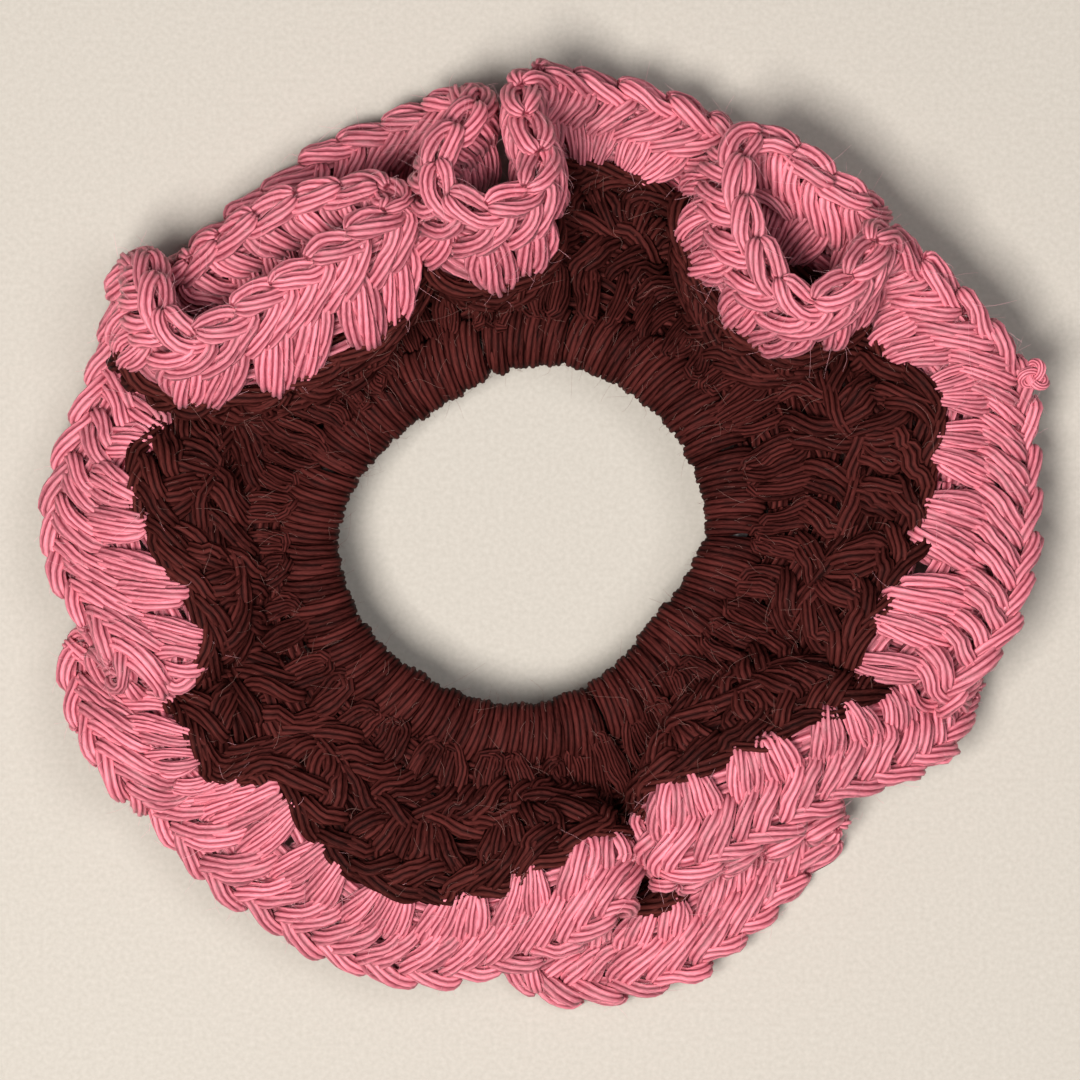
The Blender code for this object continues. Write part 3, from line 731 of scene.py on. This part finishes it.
def yarn_material(
    name, ply, groove_shade, strength, unevenness, sheen=0.0, sheen_tint=WHITE, shine=0.22
):
    """A matt yarn with shade painted into its grooves. strength is how dark that painted shade is and
    shine how glossy its plies.
    """
    material = bpy.data.materials.new(name)
    material.use_nodes = True
    tree = material.node_tree
    shader = tree.nodes["Principled BSDF"]
    shader.inputs["Sheen Weight"].default_value = sheen
    shader.inputs["Sheen Roughness"].default_value = 0.45
    shader.inputs["Sheen Tint"].default_value = (*sheen_tint, 1)
    shader.inputs["Specular IOR Level"].default_value = shine
    facts = {}
    for key in ("strand_place", "painted_shade_between_plies", "strand_shade"):
        node = tree.nodes.new("ShaderNodeAttribute")
        node.attribute_name = key
        facts[key] = node.outputs["Vector" if key == "strand_place" else "Fac"]
    fibres = tree.nodes.new("ShaderNodeGroup")
    fibres.node_tree = FIBRES
    joined(tree, facts["strand_place"], fibres.inputs["Strand place"])
    colour = tree.nodes.new("ShaderNodeGroup")
    colour.node_tree = PLY_COLOUR
    colour.inputs["Ply colour"].default_value = (*ply, 1)
    colour.inputs["Groove shade colour"].default_value = (*groove_shade, 1)
    colour.inputs["Groove strength"].default_value = strength
    colour.inputs["Unevenness"].default_value = unevenness
    joined(tree, facts["painted_shade_between_plies"], colour.inputs["Groove"])
    joined(tree, facts["strand_shade"], colour.inputs["Strand shade"])
    joined(tree, fibres.outputs["Streaks"], colour.inputs["Streaks"])
    joined(tree, colour.outputs["Colour"], shader.inputs["Base Color"])
    joined(tree, colour.outputs["Roughness"], shader.inputs["Roughness"])
    bump = tree.nodes.new("ShaderNodeBump")
    bump.inputs["Strength"].default_value = FIBRE_BUMP
    bump.inputs["Distance"].default_value = FIBRE_HEIGHT
    joined(tree, fibres.outputs["Streaks"], bump.inputs["Height"])
    joined(tree, bump.outputs["Normal"], shader.inputs["Normal"])
    return material


# For the yarns, the second colour is painted shade for the grooves between the plies; on the thin
# loose fibres, which have no grooves, it is mixed in evenly as part of their own colour.
PINK = yarn_material(
    "pink_cotton_yarn",
    ply=(0.80, 0.235, 0.295),
    groove_shade=(0.15, 0.003, 0.016),
    strength=0.98,
    unevenness=0.6,
    sheen=0.04,
    sheen_tint=(1.0, 0.75, 0.80),
    shine=0.42,
)
BROWN = yarn_material(
    "brown_cotton_yarn",
    ply=(0.072, 0.015, 0.013),
    groove_shade=(0.004, 0.0003, 0.0003),
    strength=0.98,
    unevenness=1.0,
    sheen_tint=(0.5, 0.25, 0.2),
    shine=0.02,
)
PINK_FUZZ = yarn_material(
    "pink_loose_fibres",
    ply=(0.90, 0.45, 0.50),
    groove_shade=(0.8, 0.35, 0.4),
    strength=0.3,
    unevenness=0.3,
    sheen=0.3,
    sheen_tint=(1.0, 0.8, 0.8),
)
BROWN_FUZZ = yarn_material(
    "brown_loose_fibres",
    ply=(0.30, 0.15, 0.13),
    groove_shade=(0.2, 0.09, 0.08),
    strength=0.3,
    unevenness=0.3,
    sheen=0.15,
    sheen_tint=(0.7, 0.5, 0.4),
)
print("yarns:", PINK.name, BROWN.name)

# %% [markdown]
# ## Laying strands as stitches
#
# Each kind of strand in a stitch is a short curve with the same shape in every stitch, given
# by a few guide points: how far across the stitch, how far along the rib, and how high above
# the surface. The round repeats it, with small differences so that no two stitches match.

# %% Repeat one strand in every stitch of a round
STRAND_STEPS = 12
STRAND_TWIST = 0.2
LEAST_RADIUS = 0.62
MOST_RADIUS = 1.05
END_RADIUS_SHARE = 0.55


def laid(starts, numbers, guides, wobble, thread, gather):
    """One strand in each of these stitches, from guides of (across, along, height).

    wobble is how far the guides stray. thread is the strand's radius as a share of the stitch's
    width. gather, where given, draws the lower ends of a few neighbours together: how many, how
    much, and how much higher the outer ones start.
    """
    count = len(numbers)
    knots = np.repeat(np.array(guides, float)[None], count, axis=0)
    knots += random.normal(0, 1, knots.shape) * np.array(wobble) * 0.5
    knots += random.normal(0, 1, (count, 1, 3)) * np.array(wobble)
    if gather:
        group, pull, rounding = gather
        middle = (np.floor(numbers / group) + 0.5) * group - numbers
        fall = np.clip(1.25 - 1.6 * np.linspace(0, 1, knots.shape[1]), 0, 1)
        away = knots[..., 0] - middle[:, None]
        knots[..., 1] += rounding * (away / group * 2) ** 2 * fall
        knots[..., 0] -= away * pull * fall
    lines = curved(knots, STRAND_STEPS)
    stitch = numbers[:, None] + lines[..., 0]
    rows = rows_of(starts, stitch)
    paths = on_fabric(rows, lines[..., 1], lines[..., 2])
    ahead = read_grid(GRID, rows_of(starts, stitch + 0.25), lines[..., 1])
    behind = read_grid(GRID, rows_of(starts, stitch - 0.25), lines[..., 1])
    pitch = np.linalg.norm(ahead - behind, axis=2) * 2
    radii = np.clip(thread * pitch, LEAST_RADIUS, MOST_RADIUS)
    radii *= random.uniform(0.93, 1.07, (count, 1))
    way_along = np.linspace(0, 1, STRAND_STEPS)
    ends = np.minimum(way_along, way_along[::-1]) * (STRAND_STEPS - 1)
    radii *= np.interp(ends, [0, 1.5], [END_RADIUS_SHARE, 1.0])
    up = unit(read_grid(UP, rows[:, 0], lines[:, 0, 1]))
    return swept(paths, up, radii, STRAND_TWIST)


def together(groups):
    """Several sets of strands with the same number of points, as one set."""
    return {key: np.concatenate([g[key] for g in groups]) for key in groups[0]}


FUZZ_SOURCES = {"pink": [], "brown": []}


def lay_round(name, colour, starts, count, families, parts, nodes):
    """Every strand family of a round, made as a few meshes that share the way round."""
    material = PINK if colour == "pink" else BROWN
    triangles = 0
    for part in range(parts):
        numbers = np.arange(part * count // parts, (part + 1) * count // parts).astype(float)
        groups = [laid(starts, numbers, **family) for family in families]
        strands = together(groups)
        piece = strand_mesh(f"{name}_{part + 1}", strands, material)
        worked_in(piece, f"{colour}_cotton", *nodes)
        FUZZ_SOURCES[colour].append(strands)
        triangles += sum(len(p.vertices) - 2 for p in piece.data.polygons)
    print(name, "stitches:", count, "triangles:", triangles)


# %% [markdown]
# ## The pink round
#
# A tall stitch shows three things on each face of the fabric: a fan of legs that bulges over
# the round below, a pair of slanting strands above it, and the chain link on top. The legs'
# rounded lower ends make the scalloped line where pink meets brown.

# %% Pink legs and slanting pairs
def leg_guides(face, spread, bottom, top, height, lean, start_height=0.0):
    """Three strands side by side that leave the round below and dive in under the slant."""
    length = top - bottom
    across = (0.30, 0.58, 0.90, 1.05, 1.0, 0.80, 0.50)
    along = (0.20, 0.05, 0.05, 0.30, 0.58, 0.84, 1.0)
    rise = (-0.5, 0.05, 0.80, 1.14, 1.04, 0.64, 0.05)
    families = []
    for s in (-1, 0, 1):
        dip = 0.4 * abs(s)
        level = height * (1.08 - 0.22 * abs(s))
        guides = []
        for k in range(7):
            sink = max(start_height - height, 0) * max(1 - along[k] * 2.6, 0)
            guides.append((
                0.5 + spread * across[k] * s + lean * along[k],
                bottom + along[k] * length + dip * (1 - along[k]),
                face * (rise[k] * level + sink),
            ))
        families.append(guides)
    return families


def slant_guides(face, bottom, top, height, lean):
    """A pair of strands that start at the top of the legs and slant back towards the chain."""
    families = []
    for side in (-0.5, 0.5):
        at = 0.72 + 0.42 * side
        families.append([
            (at + 0.10, bottom - 0.6, face * 0.2),
            (at + 0.04, bottom + 0.1 * (top - bottom), face * height * 0.8),
            (at - 0.25 * lean, bottom + 0.38 * (top - bottom), face * height * 1.05),
            (at - 0.62 * lean, bottom + 0.66 * (top - bottom), face * height * 1.05),
            (at - 0.90 * lean, bottom + 0.90 * (top - bottom), face * height * 0.75),
            (at - 1.0 * lean, top + 0.4, face * 0.2),
        ])
    return families


def family(guides, wobble=(0.03, 0.16, 0.08), thread=0.195, gather=None):
    """The same strand of every stitch in a round."""
    return {"guides": guides, "wobble": wobble, "thread": thread, "gather": gather}


PINK_STITCHES = 128
pink_starts, pink_run = stitch_rows(30.0, PINK_STITCHES)
print("pink stitches every", round(pink_run / PINK_STITCHES, 1), "mm")
pink_families = []
for face in (1, -1):
    for guides in leg_guides(face, 0.31, 19.0, 26.6, 1.6, -0.10):
        pink_families.append(family(guides, wobble=(0.03, 0.08, 0.08), gather=(2, 0.42, 2.1)))
    for guides in slant_guides(face, 25.0, 29.8, 1.65, 0.62):
        pink_families.append(family(guides, thread=0.21))
lay_round(
    "pink_stitches", "pink", pink_starts, PINK_STITCHES, pink_families, 6, both("pink_round")
)

# %% [markdown]
# ## The chain along the edge
#
# The last loops of the pink round lie on the edge as a row of teardrop links. Each link has a
# front and a back arm, starts narrow under the link before it and ends on the outside.

# %% Chain links
def link_guides(face, inner, outer, height):
    """One arm of a chain link."""
    middle = (inner + outer) / 2
    return [
        (-0.12, inner + 0.1, face * 0.2),
        (0.10, inner, face * height * 0.62),
        (0.40, middle - 0.25, face * height),
        (0.75, middle + 0.35, face * height * 1.02),
        (1.05, outer, face * height * 0.72),
        (1.25, outer + 0.05, face * height * 0.2),
    ]


chain_families = []
for face in (1, -1):
    chain_families.append(family(link_guides(face, 30.1, 31.5, 1.25), thread=0.2))
lay_round(
    "pink_edge_chain", "pink", pink_starts, PINK_STITCHES, chain_families, 3, both("edge_chain")
)

# %% [markdown]
# ## The two brown rounds
#
# They are the same tall stitches in the darker yarn. Some stitches share the hole that they
# grow from, so their legs fan out like small stars with dark hollows between them.

# %% Brown stitches
def brown_families(bottom, top, spread, height, gather, start_height=0.0):
    """A brown round's strands, from its lower to its upper place on the ribs."""
    families = []
    middle = bottom + 0.55 * (top - bottom)
    for face in (1, -1):
        legs = leg_guides(
            face, spread, bottom - 0.5, middle + 0.6, height, 0.10, start_height
        )
        for guides in legs:
            families.append(family(guides, wobble=(0.10, 0.4, 0.22), gather=gather))
        for guides in slant_guides(face, middle - 0.2, top - 0.6, height, 0.6):
            families.append(family(guides, thread=0.21, wobble=(0.09, 0.4, 0.22)))
        guides = link_guides(face, top - 0.5, top + 0.3, height * 0.95)
        families.append(family(guides, thread=0.2, wobble=(0.08, 0.35, 0.18)))
    return families


THREE_STITCHES = 88
three_starts, three_run = stitch_rows(18.0, THREE_STITCHES)
print("round three stitches every", round(three_run / THREE_STITCHES, 1), "mm")
lay_round(
    "brown_round_three_stitches", "brown", three_starts, THREE_STITCHES,
    brown_families(10.0, 19.6, 0.30, 1.35, (3, 0.55, 1.2)), 4, both("brown_round_three"),
)
TWO_STITCHES = 58
two_starts, two_run = stitch_rows(8.5, TWO_STITCHES)
print("round two stitches every", round(two_run / TWO_STITCHES, 1), "mm")
lay_round(
    "brown_round_two_stitches", "brown", two_starts, TWO_STITCHES,
    brown_families(-1.9, 9.8, 0.28, 1.3, (2, 0.4, 0.8), 3.4), 3, both("brown_round_two"),
)

# %% [markdown]
# ## Inside the fabric
#
# Between the two faces every stitch has strands that are never seen whole. They close the
# fabric, so that light shows through in only a few small holes. They are laid as long strands
# that follow the round.

# %% Inner strands
def inner_strands(name, places, colour, nodes):
    """Long strands round the fabric that weave a little up and down and in and out."""
    material = PINK if colour == "pink" else BROWN
    rows = np.arange(0, EDGE_STEPS + 1, 3.0)
    rows = np.repeat(rows[None], len(places), axis=0)
    place = np.repeat(np.array(places)[:, None], rows.shape[1], axis=1)
    place = place + 0.35 * np.sin(rows * 0.11 + 2.1 * place)
    lift = 0.25 * np.sin(rows * 0.17 + 1.3 * place)
    paths = on_fabric(rows, place, lift)
    up = unit(read_grid(UP, rows[:, 0], place[:, 0]))
    strands = swept(paths, up, np.full(rows.shape, 0.85), 0.25, plies=5, points_each=2)
    piece = strand_mesh(name, strands, material)
    worked_in(piece, f"{colour}_cotton", *nodes)
    print(name, "strands:", len(places))


inner_strands("pink_inner_strands", np.arange(20.6, 30.5, 1.45), "pink", both("pink_round"))
inner_strands("brown_inner_strands", np.arange(-2.2, 20.0, 1.4), "brown", both("brown_round_two"))

# %% [markdown]
# ## The foundation round and the elastic
#
# The first round is worked straight over the elastic, so its strands wrap round it like rungs.
# The elastic is a rubber core in a braided cover with its ends joined in a short sleeve. The
# wraps hide it, but the ring would have nothing to stretch without it.

# %% Foundation wraps
WRAPS = 120
WRAP_REACH = 2.9
WRAP_RADIUS = 0.92
WRAP_RELIEF = 0.16


def wraps(count):
    """Strands that go nearly all the way round the elastic, in uneven pairs."""
    number = np.arange(count)[:, None]
    turn = np.radians(np.linspace(-35, -338, 24))
    ring = 2 * math.pi * number / count
    ring = ring + random.normal(0, 0.008, (count, 1)) + 0.02 * np.sin(turn)
    ring = ring + 0.25 * math.pi / count * np.where(number % 2 == 0, 1, -1)
    out = np.stack([np.cos(ring), np.sin(ring), 0 * ring], axis=-1)
    bulge = WRAP_REACH + random.normal(0, 0.13, (count, 1)) + 0.12 * np.sin(3 * turn)
    paths = ring_point(ring) + out * (bulge * np.cos(turn))[..., None]
    paths[..., 2] += bulge * np.sin(turn)
    radii = np.full(ring.shape, WRAP_RADIUS) * random.uniform(0.92, 1.08, (count, 1))
    return paths, out[:, 0], radii


wrap_paths, wrap_up, wrap_radii = wraps(WRAPS)
wrap_strands = swept(wrap_paths, wrap_up, wrap_radii, 0.22, uneven=0.05, relief=WRAP_RELIEF)
foundation = strand_mesh("foundation_wraps", wrap_strands, BROWN)
worked_in(foundation, "brown_cotton", *both("foundation_round"))
FUZZ_SOURCES["brown"].append(wrap_strands)
print("foundation wraps:", WRAPS)

# %% Elastic core, braided cover and join
def plain_tube(name, start, end, radius, material, ridges=8, twist=0.0):
    """A tube along the elastic's centreline between two angles in degrees."""
    steps = max(int(abs(end - start) / 1.5), 8)
    ring = np.radians(np.linspace(start, end, steps))[None]
    paths = ring_point(ring)
    out = np.stack([np.cos(ring[:, 0]), np.sin(ring[:, 0]), 0 * ring[:, 0]], axis=-1)
    radii = np.full(ring.shape, radius)
    tube = swept(paths, out, radii, twist, plies=ridges, points_each=2)
    return strand_mesh(name, tube, material)


# The elastic's second colours are painted shade for the grooves between its ridges, as for the yarns.
RUBBER = yarn_material(
    "rubber_core", ply=(0.03, 0.026, 0.023), groove_shade=(0.015, 0.012, 0.01), strength=0.5, unevenness=0.2
)
BRAID = yarn_material(
    "braided_cover",
    ply=(0.03, 0.014, 0.012),
    groove_shade=(0.008, 0.004, 0.003),
    strength=0.8,
    unevenness=0.3,
    sheen=0.1,
    sheen_tint=(0.5, 0.4, 0.4),
)
SLEEVE = yarn_material(
    "join_sleeve", ply=(0.06, 0.05, 0.05), groove_shade=(0.03, 0.02, 0.02), strength=0.3, unevenness=0.1
)
core = plain_tube("elastic_core", 0, 359.2, 1.6, RUBBER)
worked_in(core, "natural_rubber", *both("elastic_core"))
cover = plain_tube("elastic_cover", 12, 352, 2.15, BRAID, ridges=16, twist=0.6)
worked_in(cover, "elastic_braid", *both("elastic_cover"))
sleeve = plain_tube("elastic_join", -8, 12, 2.2, SLEEVE, ridges=10)
worked_in(sleeve, "join_sleeve", "elastic_join_sleeve")
print("elastic parts:", core.name, cover.name, sleeve.name)

# %% [markdown]
# ## Yarn ends and the last knot
#
# Each yarn starts and stops somewhere. The maker sews the four ends in along the underside,
# and pulls the last pink loop tight as a small knot on the edge.

# %% Tails and knot
TAIL_STEPS = 26
TAIL_RADIUS = 0.8
TAIL_TIP_RADIUS = 0.55
TAIL_WEAVE = np.sin(np.linspace(0, 9, TAIL_STEPS))[None]
START_TAIL_ANGLES = (248, 290)
KNOT_ANGLE = 17.2
KNOT_SIZE = 0.52
KNOT_RADIUS = 0.5


def row_at(degrees):
    """The row whose edge is first seen at this angle from the ring's middle."""
    seen = np.degrees(np.arctan2(EDGE[:, 1], EDGE[:, 0])) - degrees
    return int(np.argmin(np.abs((seen + 180) % 360 - 180)))


def sewn_tail(name, angle, place, length, depth, material, material_slot):
    """A yarn end that weaves along the underside."""
    half = length / 2 * EDGE_STEPS / edge_length
    rows = row_at(angle) + np.linspace(-half, half, TAIL_STEPS)[None]
    weave = place + 0.5 * TAIL_WEAVE
    paths = on_fabric(rows, weave, np.full(rows.shape, -depth))
    radii = np.full(rows.shape, TAIL_RADIUS)
    radii[:, 0] = radii[:, -1] = TAIL_TIP_RADIUS
    up = unit(read_grid(UP, rows[:, 0], weave[:, 0]))
    piece = strand_mesh(name + "_yarn", swept(paths, up, radii, 0.3), material)
    return worked_in(piece, material_slot, name)


sewn_tail("brown_end_tail", -118.0, 14.5, 24.0, 2.6, BROWN, "brown_cotton")
sewn_tail("pink_start_tail", 60.0, 25.0, 20.0, 2.8, PINK, "pink_cotton")
sewn_tail("pink_end_tail", 13.0, 25.5, 13.0, 2.8, PINK, "pink_cotton")

start_ring = np.radians(np.linspace(*START_TAIL_ANGLES, TAIL_STEPS))[None]
start_paths = ring_point(start_ring)
start_paths[..., 2] -= 4.3 + 0.15 * TAIL_WEAVE
start_radii = np.full((1, TAIL_STEPS), TAIL_RADIUS)
start_strand = swept(start_paths, np.array([[0.0, 0.0, 1.0]]), start_radii, 0.3)
start_tail = strand_mesh("brown_start_tail_yarn", start_strand, BROWN)
worked_in(start_tail, "brown_cotton", "brown_start_tail")


def knot_curve(steps):
    """A tight overhand knot with its two ends running back into the chain."""
    t = np.linspace(-0.35, 2 * math.pi + 0.35, steps)
    x = np.sin(t) + 2 * np.sin(2 * t)
    y = np.cos(t) - 2 * np.cos(2 * t)
    z = -np.sin(3 * t)
    return np.stack([x * KNOT_SIZE, y * KNOT_SIZE, z * 0.55], axis=-1)


knot_row = np.array([[float(row_at(KNOT_ANGLE))]])
knot_middle = read_grid(GRID, knot_row, np.full((1, 1), 31.1))[0, 0]
knot_out = unit(knot_middle * np.array([1, 1, 0]))
knot_ahead = np.cross([0, 0, 1], knot_out)
turns = knot_curve(60)
knot_path = knot_middle + knot_out * 1.1 + np.array([0, 0, 2.4])
knot_path = knot_path + turns[:, :1] * knot_ahead + turns[:, 1:2] * knot_out
knot_path[:, 2] += turns[:, 2]
knot_strand = swept(knot_path[None], knot_out[None], np.full((1, len(turns)), KNOT_RADIUS), 0.4)
knot = strand_mesh("pink_fasten_off_knot", knot_strand, PINK)
worked_in(knot, "pink_cotton", "pink_knot")
print("knot at", np.round(knot_path.mean(axis=0), 1))

# %% [markdown]
# ## Loose fibres
#
# Spun cotton is never quite smooth. Fine fibres stand off the strands and make a soft halo
# round the outline and in the hollows. They are laid as very thin curling tubes that start
# on a strand and run mostly along it.

# %% Fuzz
FIBRES_EACH = 5000
FIBRE_RADIUS = 0.028
FIBRE_STEPS = 6


def fuzz(name, colour, count, material, material_slot, nodes):
    """Loose fibres that start anywhere on the strands of one colour."""
    starts, ways, runs = [], [], []
    sources = FUZZ_SOURCES[colour]
    sizes = np.array([s["groove_shade"].size for s in sources], float)
    shares = random.multinomial(count, sizes / sizes.sum())
    for source, share in zip(sources, shares):
        shape = source["groove_shade"].shape
        pick = [random.integers(0, n, share) for n in shape]
        starts.append(source["points"][pick[0], pick[1], pick[2]])
        ways.append(source["way"][pick[0], pick[1], pick[2]])
        runs.append(source["tangent"][pick[0], pick[1]] * random.choice([-1, 1], (share, 1)))
    start, way, run = np.concatenate(starts), np.concatenate(ways), np.concatenate(runs)
    s = np.linspace(0, 1, FIBRE_STEPS)[None, :, None]
    length = random.gamma(2.0, 0.55, (count, 1, 1)) + 0.6
    lift = random.uniform(0.1, 0.8, (count, 1, 1))
    across = np.cross(way, run)
    bend = random.normal(0, 0.6, (count, 1, 1))
    curl = random.normal(0, 0.22, (count, 1, 1))
    beat = random.uniform(3, 9, (count, 1, 1))
    paths = (
        start[:, None]
        + run[:, None] * length * s
        + way[:, None] * length * lift * (s - 0.45 * s**2)
        + across[:, None] * (length * bend * s**2 + curl * np.sin(beat * s))
    )
    radii = np.full((count, FIBRE_STEPS), FIBRE_RADIUS) * np.linspace(1, 0.5, FIBRE_STEPS)
    strands = swept(paths, way, radii, 0.0, plies=3, points_each=1)
    piece = strand_mesh(name, strands, material)
    worked_in(piece, material_slot, *nodes)
    print(name, "fibres:", count)


for part in (1, 2):
    fuzz(
        f"pink_fuzz_{part}", "pink", FIBRES_EACH, PINK_FUZZ, "pink_cotton", both("pink_round")
    )
    fuzz(
        f"brown_fuzz_{part}", "brown", FIBRES_EACH, BROWN_FUZZ, "brown_cotton",
        both("brown_round_three"),
    )
